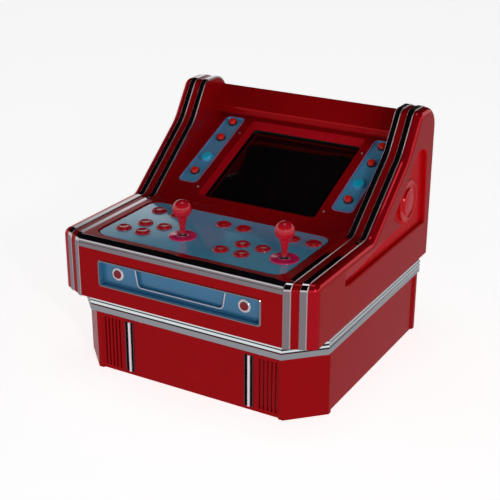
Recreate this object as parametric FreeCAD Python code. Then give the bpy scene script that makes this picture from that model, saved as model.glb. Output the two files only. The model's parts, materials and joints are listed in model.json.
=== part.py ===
import FreeCAD, Part
import math
import os

# A two-player countertop arcade cabinet, one STEP file per separate piece.
# Millimetres, X to the player's right, +Z up. While building, Y = 0 is the front
# of the base and Y grows towards the back. save() moves every piece so that the
# origin ends up at the centre of the footprint, on the surface it stands on.

V = FreeCAD.Vector

# ---- Driving dimensions ------------------------------------------------------

# Upper body
HALF_WIDTH = 260.0            # outer face of a side cover
INNER_X = 207.5               # inner face of a side panel
COVER_X = 244.0               # where a side panel ends and its cover begins
FRONT_Y = -27.0               # front face of the upper body
REAR_Y = 490.0                # rear edge of the side panels
BODY_Z = 155.0                # underside of the upper body
DECK_Z = 274.0                # top of the control deck
SHOULDER_Z = 271.0            # top of the side panels beside the deck
TOP_Z = 458.5                 # top of the side panels
FRONT_SLANT = 24.0            # how far the front of a side panel falls back at its outer face
NOSE_RADIUS = 14.0            # rounding where the front turns into the deck
REAR_ROUND = 42.0             # rounding of the panels' top rear corner
COVER_ROUND = 12.0            # rounding of the outer rim of a side cover

# Base
BASE_X = 255.8
BASE_REAR = 487.0
BASE_Z = 124.0                # top of the base panels, under the moulding
FRONT_CUT = 59.2              # 45 degree cut of the front corners
REAR_CUT = 36.0
POST_RETURN = 8.6             # flat of a post beside its 45 degree face
PANEL_SET = 4.0               # how far the base panels stand back from the posts
BASE_WALL = 11.0

# Chrome trim
STRIP_X = (207.5, 232.0)      # inner edges of the two chrome strips on a side
STRIP_WIDTH = 12.0
STRIP_PROUD = 1.6
STRIP_SUNK = 1.5

# Control deck
PLATE_X = 190.0               # half width of the control plate
PLATE_Y = (0.0, 190.0)
PLATE_RADIUS = 22.0
PLATE_TOP = DECK_Z - 1.5
PLATE_THICK = 2.0
DECK_THICK = 18.0

# Sloping monitor bezel, which rises from the back of the deck
FOOT_Y = 223.0
BEZEL_ANGLE = math.radians(22.65)
BEZEL_LENGTH = 277.0
BEZEL_THICK = 12.0

# Side recess and its round speaker
RECESS_DEPTH = 8.0
RECESS_BEVEL = 2.0
SPEAKER = (378.0, 295.5)      # Y, Z of both side speakers
SPEAKER_RADIUS = 40.0

# Deck buttons and joysticks
PLAYER_X = 102.8              # centre of each player's group
ROW_Y = (46.0, 85.0)          # front and back row of the zigzag
ZIGZAG_START = -57.0
ZIGZAG_PITCH = 20.5
STICK_OFFSET = 57.0
STICK_Y = 66.0
BACK_ROW_Y = 150.0
BACK_ROW_X = 10.0
BACK_ROW_STEP = 142.0
BACK_PAIR = 42.0

# Front insert
INSERT_X = 167.0
INSERT_Z = (184.0, 235.6)
INSERT_FLOOR = FRONT_Y + 10.0
FRONT_BUTTON = (130.0, 211.5)   # X, Z

# Strips of buttons beside the screen, in distance along the bezel
STRIP_PANEL_X = (146.0, 190.0)
STRIP_PANEL_U = (50.0, 263.0)
RED_BUTTON_U = (84.0, 193.0, 245.0)
LAMP_U = 132.0

CLEARANCE = 0.4               # between a button and its housing
MIDDLE_Y = (FRONT_Y + REAR_Y) / 2


# ---- Helpers -----------------------------------------------------------------

def solids(shape):
    """The separate solids of a shape or a list of shapes."""
    if isinstance(shape, (list, tuple)):
        return [solid for item in shape for solid in solids(item)]
    return list(shape.Solids)


def save(name, shape):
    """Write one node, with the origin under the middle of the cabinet."""
    pieces = solids(shape)
    for piece in pieces:
        if not piece.isValid():
            print("INVALID", name)
    group = pieces[0] if len(pieces) == 1 else Part.makeCompound(pieces)
    group.translate(V(0, -MIDDLE_Y, 0))
    group.exportStep("parts/%s.step" % name)
    volume = sum(piece.Volume for piece in pieces) / 1000
    print("%-26s %2d solids %9.1f cm3" % (name, len(pieces), volume))


def mirrored(shape):
    """The same piece on the other side of the cabinet."""
    return shape.mirror(V(0, 0, 0), V(1, 0, 0))


def both_sides(shape):
    return [shape, mirrored(shape)]


def box(x, y, z):
    """A block between low and high values along each axis."""
    size = [high - low for low, high in (x, y, z)]
    return Part.makeBox(size[0], size[1], size[2], V(x[0], y[0], z[0]))


def side_plane(x):
    return lambda y, z: V(x, y, z)


def plan_plane(z):
    return lambda x, y: V(x, y, z)


def front_plane(y):
    return lambda x, z: V(x, y, z)


def bezel_plane(depth):
    """Points of the bezel: x, and u up the slope, at a depth below its face."""
    def point(x, u):
        y = FOOT_Y + u * math.cos(BEZEL_ANGLE) + depth * math.sin(BEZEL_ANGLE)
        z = DECK_Z + u * math.sin(BEZEL_ANGLE) - depth * math.cos(BEZEL_ANGLE)
        return V(x, y, z)
    return point


BEZEL_DOWN = V(0, math.sin(BEZEL_ANGLE), -math.cos(BEZEL_ANGLE))


def outline(corners, at):
    """Closed wire through corners of (u, v, radius), placed in space by at(u, v)."""
    stops = []
    for index, (u, v, radius) in enumerate(corners):
        here = V(u, v, 0)
        last = corners[index - 1]
        following = corners[(index + 1) % len(corners)]
        back = (V(last[0], last[1], 0) - here).normalize()
        ahead = (V(following[0], following[1], 0) - here).normalize()
        if radius <= 0:
            stops.append((here, None, here))
            continue
        half = back.getAngle(ahead) / 2
        reach = radius / math.tan(half)
        inward = (back + ahead).normalize() * (radius / math.sin(half) - radius)
        stops.append((here + back * reach, here + inward, here + ahead * reach))
    edges = []
    for index, (start, middle, end) in enumerate(stops):
        if middle is not None:
            points = [at(p.x, p.y) for p in (start, middle, end)]
            edges.append(Part.Arc(*points).toShape())
        begin = at(end.x, end.y)
        target = stops[(index + 1) % len(stops)][0]
        finish = at(target.x, target.y)
        if begin.distanceToPoint(finish) > 1e-6:
            edges.append(Part.makeLine(begin, finish))
    return Part.Wire(edges)


def slab(corners, at, travel):
    """An outline pulled along a vector into a solid."""
    return Part.Face(outline(corners, at)).extrude(travel)


def rectangle(u, v, radius=0.0):
    return [(u[0], v[0], radius), (u[1], v[0], radius),
            (u[1], v[1], radius), (u[0], v[1], radius)]


def inset(u, v, by):
    """A rectangle's spans, made smaller by the same amount all round."""
    return (u[0] + by, u[1] - by), (v[0] + by, v[1] - by)


def grown(corners, amount):
    """A counter-clockwise outline moved outwards, with concentric rounds."""
    sides = []
    for index, (u, v, _) in enumerate(corners):
        nu, nv, _ = corners[(index + 1) % len(corners)]
        length = math.hypot(nu - u, nv - v)
        normal = ((nv - v) / length, (u - nu) / length)
        sides.append((normal, normal[0] * u + normal[1] * v + amount))
    moved = []
    for index, (_, _, radius) in enumerate(corners):
        (a, b), c = sides[index - 1]
        (d, e), f = sides[index]
        cross = a * e - b * d
        turn = 1 if cross > 0 else -1
        new_radius = radius + turn * amount if radius > 0 else 0
        moved.append(((c * e - b * f) / cross, (a * f - c * d) / cross, new_radius))
    return moved


def turned(profile, centre, axis):
    """A solid of revolution: profile of (radius, height) points, height along axis."""
    points = [V(radius, 0, height) for radius, height in profile]
    wire = Part.makePolygon(points + [points[0]])
    shape = Part.Face(wire).revolve(V(0, 0, 0), V(0, 0, 1), 360)
    shape.Placement = FreeCAD.Placement(centre, FreeCAD.Rotation(V(0, 0, 1), axis))
    return shape


def rod(radius, start, axis, length):
    return Part.makeCylinder(radius, length, start, axis)


# ---- Base --------------------------------------------------------------------

def corner_post(front_y, inward, cut):
    """Right-hand post in plan: a 45 degree face with a short flat on each side."""
    corner_x = BASE_X - cut
    back = PANEL_SET + BASE_WALL
    along = cut + POST_RETURN + PANEL_SET
    plan = [
        (corner_x - POST_RETURN - PANEL_SET, PANEL_SET, 0),
        (corner_x - POST_RETURN, 0, 1.0),
        (corner_x, 0, 1.5),
        (BASE_X, cut, 1.5),
        (BASE_X, cut + POST_RETURN, 1.0),
        (BASE_X - PANEL_SET, along, 0),
        (BASE_X - back, along, 0),
        (BASE_X - back, cut + 4, 0),
        (corner_x - 4, back, 0),
        (corner_x - POST_RETURN - PANEL_SET, back, 0),
    ]
    plan = [(x, front_y + inward * y, radius) for x, y, radius in plan]
    return slab(plan, plan_plane(0), V(0, 0, BASE_Z))


def corner_posts():
    front = corner_post(0, 1, FRONT_CUT)
    rear = corner_post(BASE_REAR, -1, REAR_CUT)
    return both_sides(front) + both_sides(rear)


VENT_FIRST = 148.0
VENT_PITCH = 8.0
VENT_COUNT = 5
VENT_WIDTH = 3.2
VENT_Z = (8.0, 107.0)


def base_panels():
    front_x = BASE_X - FRONT_CUT - POST_RETURN - PANEL_SET
    rear_x = BASE_X - REAR_CUT - POST_RETURN - PANEL_SET
    inner = PANEL_SET + BASE_WALL
    front = box((-front_x, front_x), (PANEL_SET, inner), (0, BASE_Z))
    rear = box((-rear_x, rear_x), (BASE_REAR - inner, BASE_REAR - PANEL_SET), (0, BASE_Z))
    for number in range(VENT_COUNT):
        middle = VENT_FIRST + VENT_PITCH * number
        slot = box((middle - VENT_WIDTH / 2, middle + VENT_WIDTH / 2), (0, inner + 1), VENT_Z)
        front = front.cut(slot).cut(mirrored(slot))
    side_y = (FRONT_CUT + POST_RETURN + PANEL_SET, BASE_REAR - REAR_CUT - POST_RETURN - PANEL_SET)
    side = box((BASE_X - inner, BASE_X - PANEL_SET), side_y, (0, BASE_Z))
    return [front, rear] + both_sides(side)


VENT_TRIM_X = 126.3
VENT_TRIM_WIDTH = 18.2
VENT_TRIM_Z = (7.0, 108.0)
VENT_BEAD_RADIUS = 2.6


def vent_trims():
    """A flat strip beside each group of vents, with a half-round bead down its middle."""
    half = VENT_TRIM_WIDTH / 2
    face = PANEL_SET - 1.2
    strip = box((VENT_TRIM_X - half, VENT_TRIM_X + half), (face, PANEL_SET), VENT_TRIM_Z)
    height = VENT_TRIM_Z[1] - VENT_TRIM_Z[0]
    bead = rod(VENT_BEAD_RADIUS, V(VENT_TRIM_X, PANEL_SET, VENT_TRIM_Z[0]), V(0, 0, 1), height)
    bead = bead.common(box((0, HALF_WIDTH), (0, PANEL_SET), (0, BASE_Z)))
    return both_sides(strip.fuse(bead).removeSplitter())


MOULDING_FRONT_Y = -11.5      # the moulding's line in plan stands out past the base
MOULDING_X = BASE_X + 1.2
MOULDING_CORNER_X = 197.8     # where its front turns into the 45 degree corner
MOULDING_DEPTH = 26.0         # how far its flanges reach in over the top of the base
MOULDING_WALL = 3.0
RIB_PITCH = 7.5
RIB_TOP = 150.8
GROOVE = 0.6                  # depth of the grooves under the ribs
BAND_PROUD = 2.2


def rib(top):
    """Points (out, z) of a rib and the groove below it, from the top down."""
    return [(0, top), (1.2, top - 0.6), (1.7, top - 1.6), (2.8, top - 4.4), (2.9, top - 5.0),
            (2.4, top - 5.8), (0.9, top - 6.4), (-GROOVE, top - 6.6), (-GROOVE, top - RIB_PITCH + 0.2)]


def moulding_section():
    """A hollow channel, open to the inside, with two ribs above a flat band on its face."""
    band_top = RIB_TOP - 2 * RIB_PITCH
    corners = [(0, BODY_Z)] + rib(RIB_TOP) + rib(RIB_TOP - RIB_PITCH)
    corners += [(BAND_PROUD - 0.6, band_top), (BAND_PROUD, band_top - 0.6), (BAND_PROUD, BASE_Z + 0.8),
                (BAND_PROUD - 0.6, BASE_Z), (-MOULDING_DEPTH, BASE_Z),
                (-MOULDING_DEPTH, BASE_Z + MOULDING_WALL), (-MOULDING_WALL, BASE_Z + MOULDING_WALL),
                (-MOULDING_WALL, BODY_Z - MOULDING_WALL), (-MOULDING_DEPTH, BODY_Z - MOULDING_WALL),
                (-MOULDING_DEPTH, BODY_Z)]
    return Part.makePolygon([V(0, MOULDING_FRONT_Y - out, z) for out, z in corners + corners[:1]])


def chrome_moulding():
    """Bright moulding that follows the base all the way round."""
    turn_y = MOULDING_X - MOULDING_CORNER_X + MOULDING_FRONT_Y
    rear_y = BASE_REAR - REAR_CUT
    plan = [
        (0, MOULDING_FRONT_Y), (MOULDING_CORNER_X, MOULDING_FRONT_Y), (MOULDING_X, turn_y),
        (MOULDING_X, rear_y), (BASE_X - REAR_CUT, BASE_REAR), (REAR_CUT - BASE_X, BASE_REAR),
        (-MOULDING_X, rear_y), (-MOULDING_X, turn_y), (-MOULDING_CORNER_X, MOULDING_FRONT_Y),
    ]
    path = Part.makePolygon([V(x, y, BASE_Z) for x, y in plan + plan[:1]])
    return path.makePipeShell([moulding_section()], True, False, 1)


# ---- Side panels and their trim ----------------------------------------------

BEYOND_FRONT = FRONT_Y - 20.0   # the outline starts here and is then cut to the slanted front
SIDE_OUTLINE = [
    (BEYOND_FRONT, BODY_Z, 0), (REAR_Y, BODY_Z, 0), (REAR_Y, TOP_Z, REAR_ROUND),
    (410.9, TOP_Z, 18.0), (362.4, 386.8, 90.0), (215.7, SHOULDER_Z, 26.0), (BEYOND_FRONT, SHOULDER_Z, 0),
]


def side_blank(x_low, x_high, growth, bottom=BODY_Z):
    """The full side outline between two X values, with its front face slanted in plan."""
    corners = grown(SIDE_OUTLINE, growth)
    corners[0] = (corners[0][0], bottom, 0)
    corners[1] = (corners[1][0], bottom, 0)
    blank = slab(corners, side_plane(x_low), V(x_high - x_low, 0, 0))
    slope = FRONT_SLANT / (HALF_WIDTH - INNER_X)
    reach = 400.0

    def front_at(x):
        return FRONT_Y + slope * (x - INNER_X) - growth

    low, high = INNER_X - 5, HALF_WIDTH + 5
    cutter = [(low, front_at(low), 0), (high, front_at(high), 0),
              (high, FRONT_Y - reach, 0), (low, FRONT_Y - reach, 0)]
    blank = blank.cut(slab(cutter, plan_plane(0), V(0, 0, 2 * reach)))
    top = SHOULDER_Z + growth
    edges = []
    for edge in blank.Edges:
        ends = [vertex.Point for vertex in edge.Vertexes]
        flat = all(abs(point.z - top) < 0.01 for point in ends)
        forward = all(point.y < FRONT_Y + FRONT_SLANT + 5 for point in ends)
        if flat and forward:
            edges.append(edge)
    return blank.makeFillet(NOSE_RADIUS + growth, edges)


def edge_strip(x_low):
    """A flat chrome bar with bevelled edges, sunk in the panel edge and standing proud."""
    x_high = x_low + STRIP_WIDTH
    bar = side_blank(x_low, x_high, STRIP_PROUD)
    rims = [edge for edge in bar.Edges
            if edge.BoundBox.XLength < 0.01 and edge.BoundBox.ZMax > BODY_Z + 1]
    bar = bar.makeChamfer(1.1, rims)
    return bar.cut(side_blank(x_low - 1, x_high + 1, -STRIP_SUNK, 0))


def strip_grooves(blank):
    for x_low in STRIP_X:
        ring = side_blank(x_low, x_low + STRIP_WIDTH, 1, 0)
        blank = blank.cut(ring.cut(side_blank(x_low, x_low + STRIP_WIDTH, -STRIP_SUNK, 0)))
    return blank


def speaker_hole():
    return rod(SPEAKER_RADIUS - 2, V(INNER_X - 1, *SPEAKER), V(1, 0, 0), HALF_WIDTH)


def side_panel():
    blank = strip_grooves(side_blank(INNER_X, COVER_X, 0))
    return blank.cut(speaker_hole())


RECESS_OUTLINE = [
    (101.0, 227.0, 6.0), (459.0, 227.5, 6.0), (448.5, 383.0, 22.0), (397.0, 383.0, 18.0),
    (361.0, 334.0, 40.0), (299.0, 286.0, 4.0), (350.0, 257.0, 2.0), (101.0, 255.5, 6.0),
]


def side_cover():
    """Outer cover: rounded rim, and a shallow sail-shaped recess with a long slot."""
    blank = side_blank(COVER_X, HALF_WIDTH, 0)
    rim = [edge for edge in blank.Edges
           if edge.BoundBox.XMin > HALF_WIDTH - 0.01 and edge.BoundBox.ZMax > BODY_Z + 1]
    blank = blank.makeFillet(COVER_ROUND, rim)
    floor_x = HALF_WIDTH - RECESS_DEPTH
    recess = slab(RECESS_OUTLINE, side_plane(floor_x), V(RECESS_DEPTH + 1, 0, 0))
    wide = outline(grown(RECESS_OUTLINE, RECESS_BEVEL), side_plane(HALF_WIDTH))
    narrow = outline(RECESS_OUTLINE, side_plane(HALF_WIDTH - RECESS_BEVEL))
    blank = blank.cut(recess).cut(Part.makeLoft([wide, narrow], True, True))
    return blank.cut(speaker_hole())


def speaker_cover():
    """Round cover: a raised outer ring, a valley and a domed middle."""
    profile = [
        (0, 0), (SPEAKER_RADIUS, 0), (SPEAKER_RADIUS, 3.6), (39.0, 4.8), (37.4, 5.4),
        (35.6, 5.0), (34.0, 3.4), (29.6, 2.0), (26.4, 2.4), (25.2, 4.6), (23.8, 6.8),
        (22.0, 7.6), (20.4, 7.2), (19.0, 6.2), (12.0, 7.0), (0, RECESS_DEPTH - 0.4),
    ]
    return turned(profile, V(HALF_WIDTH - RECESS_DEPTH, *SPEAKER), V(1, 0, 0))


def side_speaker():
    """Loudspeaker behind the cover: rim, cone basket and magnet."""
    rim = SPEAKER_RADIUS - 2.2
    profile = [
        (0, 42), (18, 42), (18, 30), (22, 30), (rim - 4, 6), (rim, 6), (rim, 1),
        (rim - 5, 1), (12, 16), (0, 16),
    ]
    return turned(profile, V(HALF_WIDTH - RECESS_DEPTH, *SPEAKER), V(-1, 0, 0))


# ---- Upper body --------------------------------------------------------------

FASCIA_THICK = 12.0
REAR_PANEL_Y = (474.0, 482.0)
FLOOR_TOP = BODY_Z + 8.0
NECK_GAP_X = 60.0             # half width of the floor's gap for the tube's neck
NECK_GAP_Y = (372.0, 466.0)


def upper_floor():
    """Floor of the upper body, with a gap for the neck of the tube."""
    board = box((-INNER_X, INNER_X), (FRONT_Y + FASCIA_THICK, REAR_PANEL_Y[0]), (BODY_Z, FLOOR_TOP))
    return board.cut(box((-NECK_GAP_X, NECK_GAP_X), NECK_GAP_Y, (BODY_Z - 1, FLOOR_TOP + 1)))


NOSE_Z = 254.0


def front_fascia():
    board = box((-INNER_X, INNER_X), (FRONT_Y, FRONT_Y + FASCIA_THICK), (BODY_Z, NOSE_Z))
    bottom = [edge for edge in board.Edges
              if edge.BoundBox.ZMax < BODY_Z + 0.01 and edge.BoundBox.YMax < FRONT_Y + 0.01]
    board = board.makeFillet(2.5, bottom)
    window = rectangle((-INSERT_X, INSERT_X), INSERT_Z, 7.0)
    return board.cut(slab(window, front_plane(FRONT_Y - 1), V(0, FASCIA_THICK + 2, 0)))


FRAME_WIDTH = 2.8
TRAY_WALL = 1.6
POCKET_TOP_X = 92.0
POCKET_BOTTOM_X = 86.0
POCKET_Z = 196.0
POCKET_DEPTH = 6.0
BEAD_WIDTH = 1.6
BEAD_PROUD = 1.0


def pocket_outline(top):
    """The finger pocket in the middle of the insert, seen from the front."""
    return [(-POCKET_BOTTOM_X, POCKET_Z, 7.0), (POCKET_BOTTOM_X, POCKET_Z, 7.0),
            (POCKET_TOP_X, top, 0), (-POCKET_TOP_X, top, 0)]


def tray_spans():
    """The hollow of the insert between its walls."""
    return inset((-INSERT_X, INSERT_X), INSERT_Z, FRAME_WIDTH + TRAY_WALL)


def pocket_bead():
    """Chrome bead down both sides and along the bottom of the finger pocket."""
    top = tray_spans()[1][1]
    face = front_plane(INSERT_FLOOR - BEAD_PROUD)
    pocket = pocket_outline(top)
    bead = slab(grown(pocket, BEAD_WIDTH + 0.4), face, V(0, BEAD_PROUD, 0))
    bead = bead.cut(slab(grown(pocket, 0.4), face, V(0, BEAD_PROUD, 0)))
    return bead.common(box((-INSERT_X, INSERT_X), (FRONT_Y, 0), (0, top)))


def insert_frame():
    """Chrome surround of the blue insert, and the bead in its middle."""
    outer = slab(rectangle((-INSERT_X, INSERT_X), INSERT_Z, 7.0),
                 front_plane(FRONT_Y - 1.2), V(0, FASCIA_THICK, 0))
    front = [edge for edge in outer.Edges if edge.BoundBox.YMax < FRONT_Y - 1.19]
    outer = outer.makeChamfer(0.9, front)
    hole = inset((-INSERT_X, INSERT_X), INSERT_Z, FRAME_WIDTH)
    frame = outer.cut(slab(rectangle(hole[0], hole[1], 4.4), front_plane(FRONT_Y - 3), V(0, 20, 0)))
    return [frame, pocket_bead()]


FRONT_BARREL = 11.0


def fascia_insert():
    """Blue tray behind the chrome frame, with a shallow pocket between its two buttons."""
    spans = inset((-INSERT_X, INSERT_X), INSERT_Z, FRAME_WIDTH)
    back = INSERT_FLOOR + POCKET_DEPTH + 2
    tray = slab(rectangle(spans[0], spans[1], 4.4), front_plane(FRONT_Y + 0.6),
                V(0, back - FRONT_Y - 0.6, 0))
    inner = tray_spans()
    depth = INSERT_FLOOR - FRONT_Y
    tray = tray.cut(slab(rectangle(inner[0], inner[1], 3.0), front_plane(FRONT_Y), V(0, depth, 0)))
    pocket = pocket_outline(inner[1][1])
    tray = tray.cut(slab(pocket, front_plane(FRONT_Y), V(0, depth + POCKET_DEPTH, 0)))
    for x in (-FRONT_BUTTON[0], FRONT_BUTTON[0]):
        tray = tray.cut(rod(FRONT_BARREL, V(x, FRONT_Y, FRONT_BUTTON[1]), V(0, 1, 0), 40))
    return tray


FRONT_CAP = 7.6
SPRING_WIRE = 0.45            # radius of a return spring's wire
SPRING_RADIUS = 3.6
SPRING_BORE = 4.6             # hollow inside a plunger, round its return spring
BUTTON_TRAVEL = 3.0


def front_button_rings():
    """Bright ring and barrel of the two front buttons."""
    bore = FRONT_CAP + CLEARANCE
    profile = [
        (bore, 2.0), (bore + 0.6, 2.8), (10.4, 2.8), (12.2, 1.4), (12.2, 0),
        (FRONT_BARREL, 0), (FRONT_BARREL, -26), (0, -26), (0, -24), (bore, -24),
    ]
    return [turned(profile, V(x, INSERT_FLOOR, FRONT_BUTTON[1]), V(0, -1, 0))
            for x in (-FRONT_BUTTON[0], FRONT_BUTTON[0])]


def plunger(radius, top, bottom, roof):
    """Profile of a button cap: its top points, then its skirt round the spring's hollow."""
    return [(SPRING_BORE, bottom), (radius, bottom)] + top + [(0, roof), (SPRING_BORE, roof)]


def front_button(x):
    top = [(FRONT_CAP, 3.4), (FRONT_CAP - 1.2, 4.4), (0, 4.9)]
    return turned(plunger(FRONT_CAP, top, -20, -8), V(x, INSERT_FLOOR, FRONT_BUTTON[1]), V(0, -1, 0))


def nose_trim():
    """Rounded chrome edge between the front and the deck, with a flat band below."""
    front = FRONT_Y - 1.5
    rear = FRONT_Y + FASCIA_THICK
    nose = [(rear, NOSE_Z, 0), (rear, DECK_Z, 0), (front + 1, DECK_Z, 11.0), (front + 1, 262.5, 0),
            (front, 262.0, 0.4), (front, NOSE_Z, 0.8)]
    return slab(nose, side_plane(-INNER_X), V(2 * INNER_X, 0, 0))


def plate_spans(extra):
    return inset((-PLATE_X, PLATE_X), PLATE_Y, -extra)


def deck_surround():
    """Board between the side panels, with a rebated opening for the control plate."""
    board = box((-INNER_X, INNER_X), (FRONT_Y + FASCIA_THICK, FOOT_Y), (DECK_Z - DECK_THICK, DECK_Z))
    rebate = plate_spans(2.2)
    floor_z = PLATE_TOP - PLATE_THICK
    rebate_cut = slab(rectangle(rebate[0], rebate[1], PLATE_RADIUS + 2.2),
                      plan_plane(floor_z), V(0, 0, DECK_THICK))
    board = board.cut(rebate_cut)
    rim = [edge for edge in board.Edges
           if edge.BoundBox.ZMin > DECK_Z - 0.01 and abs(edge.BoundBox.XMin) < INNER_X - 1
           and edge.BoundBox.XMax < INNER_X - 1]
    rim = [edge for edge in rim if edge.BoundBox.YMax < FOOT_Y - 1]
    board = board.makeFillet(2.4, rim)
    hole = plate_spans(-4.0)
    return board.cut(slab(rectangle(hole[0], hole[1], PLATE_RADIUS - 4),
                          plan_plane(DECK_Z - DECK_THICK - 1), V(0, 0, DECK_THICK + 2)))


def deck_button_centres():
    """Two players' zigzags of four, then the back row of three pairs."""
    centres = []
    for player in (-PLAYER_X, PLAYER_X):
        for number in range(4):
            x = player + ZIGZAG_START + ZIGZAG_PITCH * number
            centres.append((x, ROW_Y[number % 2]))
    for pair in (-1, 0, 1):
        for side in (-0.5, 0.5):
            centres.append((BACK_ROW_X + BACK_ROW_STEP * pair + BACK_PAIR * side, BACK_ROW_Y))
    return centres


def stick_centres():
    return [(player + STICK_OFFSET, STICK_Y) for player in (-PLAYER_X, PLAYER_X)]


BARREL_RADIUS = 12.0
CAP_RADIUS = 10.2
BARREL_DEPTH = 24.0
STICK_HOLE = 10.0


def control_plate():
    spans = plate_spans(0)
    plate = slab(rectangle(spans[0], spans[1], PLATE_RADIUS),
                 plan_plane(PLATE_TOP - PLATE_THICK), V(0, 0, PLATE_THICK))
    rim = [edge for edge in plate.Edges if edge.BoundBox.ZMin > PLATE_TOP - 0.01]
    plate = plate.makeFillet(0.6, rim)
    for x, y in deck_button_centres():
        plate = plate.cut(rod(BARREL_RADIUS, V(x, y, 200), V(0, 0, 1), 100))
    for x, y in stick_centres():
        plate = plate.cut(rod(STICK_HOLE, V(x, y, 200), V(0, 0, 1), 100))
    return plate


def button_housings():
    """Snap-in housings: a sloping flange above the plate and a closed barrel below it."""
    bore = CAP_RADIUS + CLEARANCE
    profile = [
        (bore, 2.6), (bore + 0.6, 3.2), (12.6, 3.2), (13.8, 2.4), (14.5, 0.8), (14.5, 0),
        (BARREL_RADIUS, 0), (BARREL_RADIUS, -BARREL_DEPTH), (0, -BARREL_DEPTH),
        (0, 2 - BARREL_DEPTH), (bore, 2 - BARREL_DEPTH),
    ]
    return [turned(profile, V(x, y, PLATE_TOP), V(0, 0, 1)) for x, y in deck_button_centres()]


def deck_button(x, y):
    """Plunger with a slightly dished top."""
    top = [(CAP_RADIUS, 3.6), (CAP_RADIUS - 0.4, 4.4), (CAP_RADIUS - 1.2, 4.8),
           (CAP_RADIUS - 2.4, 4.6), (0, 4.2)]
    profile = plunger(CAP_RADIUS, top, 6 - BARREL_DEPTH, -6)
    return turned(profile, V(x, y, PLATE_TOP), V(0, 0, 1))


SWITCH_SIZE = (19.8, 6.4, 10.2)


def switch_body():
    """Snap-action switch centred under the origin, with its two terminals below."""
    length, width, height = SWITCH_SIZE
    body = box((-length / 2, length / 2), (-width / 2, width / 2), (-height, 0))
    for x in (-6.0, 6.0):
        body = body.fuse(box((x - 1.5, x + 1.5), (-0.4, 0.4), (-height - 5, -height)))
    return body.removeSplitter()


def spring(length, turns, radius=SPRING_RADIUS):
    """Coil spring of six-sided wire, standing just above the origin."""
    pitch = (length - 2 * SPRING_WIRE - 0.4) / turns
    helix = Part.makeLongHelix(pitch, pitch * turns, radius)
    ring = []
    for side in range(7):
        angle = side * math.pi / 3
        ring.append(V(radius + SPRING_WIRE * math.cos(angle), 0, SPRING_WIRE * math.sin(angle)))
    coil = Part.Wire(helix).makePipeShell([Part.makePolygon(ring)], True, True)
    coil.translate(V(0, 0, SPRING_WIRE + 0.2))
    return coil


def placed(shape, centre, up):
    copy = shape.copy()
    turn = FreeCAD.Placement(centre, FreeCAD.Rotation(V(0, 0, 1), up))
    copy.Placement = turn.multiply(shape.Placement)
    return copy


PIVOT_Z = 258.0
HOUSING_HALF = 25.0
HOUSING_Z = 242.0
MOUNT_HALF = (26.0, 42.0)     # half sizes of the mounting plate, across and front to back
MOUNT_THICK = 1.6
CAVITY = 21.0
RING_OUTER = 18.0
RING_INNER = 13.0
RING_HALF_HEIGHT = 4.0
RING_PIN = 2.5
STICK_PIN = 1.8
RUNNING = 0.05
ACTUATOR_HOLE = 12.0


def microswitches():
    """One switch under every button and four round each joystick's actuator."""
    switch = switch_body()
    placements = []
    for x, y in deck_button_centres():
        placements.append((V(x, y, PLATE_TOP - BARREL_DEPTH), V(0, 0, 1)))
    for x in (-FRONT_BUTTON[0], FRONT_BUTTON[0]):
        placements.append((V(x, INSERT_FLOOR + 26, FRONT_BUTTON[1]), V(0, -1, 0)))
    for side in (-1, 1):
        for u in RED_BUTTON_U:
            placements.append((bezel_plane(18)(side * strip_centre_x(), u), BEZEL_DOWN * -1))
    made = [placed(switch, centre, up) for centre, up in placements]
    away = ACTUATOR_HOLE + SWITCH_SIZE[1] / 2
    for x, y in stick_centres():
        for turn in (0, 90, 180, 270):
            copy = switch.copy()
            copy.translate(V(0, away, HOUSING_Z))
            copy.rotate(V(0, 0, 0), V(0, 0, 1), turn)
            copy.translate(V(x, y, 0))
            made.append(copy)
    return made


def button_springs():
    """Return spring inside every plunger, drawn at its length when the button is pressed."""
    up = BEZEL_DOWN * -1
    deck = spring(BARREL_DEPTH - 2 - 6 - BUTTON_TRAVEL - 0.2, 4)
    front = spring(24 - 8 - BUTTON_TRAVEL - 0.2, 4)
    strip = spring(16 - 2 - BUTTON_TRAVEL - 0.2, 4)
    made = [placed(deck, V(x, y, PLATE_TOP + 2 - BARREL_DEPTH), V(0, 0, 1))
            for x, y in deck_button_centres()]
    made += [placed(front, V(x, INSERT_FLOOR + 24, FRONT_BUTTON[1]), V(0, -1, 0))
             for x in (-FRONT_BUTTON[0], FRONT_BUTTON[0])]
    made += [placed(strip, bezel_plane(16)(side * strip_centre_x(), u), up)
             for side in (-1, 1) for u in RED_BUTTON_U]
    return made


def joystick_housing(x, y):
    """Mounting plate under the control plate, and a box with bearings for the gimbal."""
    top = PLATE_TOP - PLATE_THICK
    plate_bottom = top - MOUNT_THICK
    floor = HOUSING_Z + 3
    body = box((-HOUSING_HALF, HOUSING_HALF), (-HOUSING_HALF, HOUSING_HALF), (HOUSING_Z, plate_bottom))
    body = body.fuse(box((-MOUNT_HALF[0], MOUNT_HALF[0]), (-MOUNT_HALF[1], MOUNT_HALF[1]),
                         (plate_bottom, top)))
    body = body.cut(rod(CAVITY, V(0, 0, floor), V(0, 0, 1), plate_bottom - floor))
    body = body.cut(rod(ACTUATOR_HOLE, V(0, 0, HOUSING_Z - 1), V(0, 0, 1), 6))
    body = body.cut(rod(STICK_HOLE + 4, V(0, 0, plate_bottom - 1), V(0, 0, 1), 4))
    body = body.cut(rod(RING_PIN + RUNNING, V(0, -HOUSING_HALF - 1, PIVOT_Z), V(0, 1, 0), 60))
    body.translate(V(x, y, 0))
    return body


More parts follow.
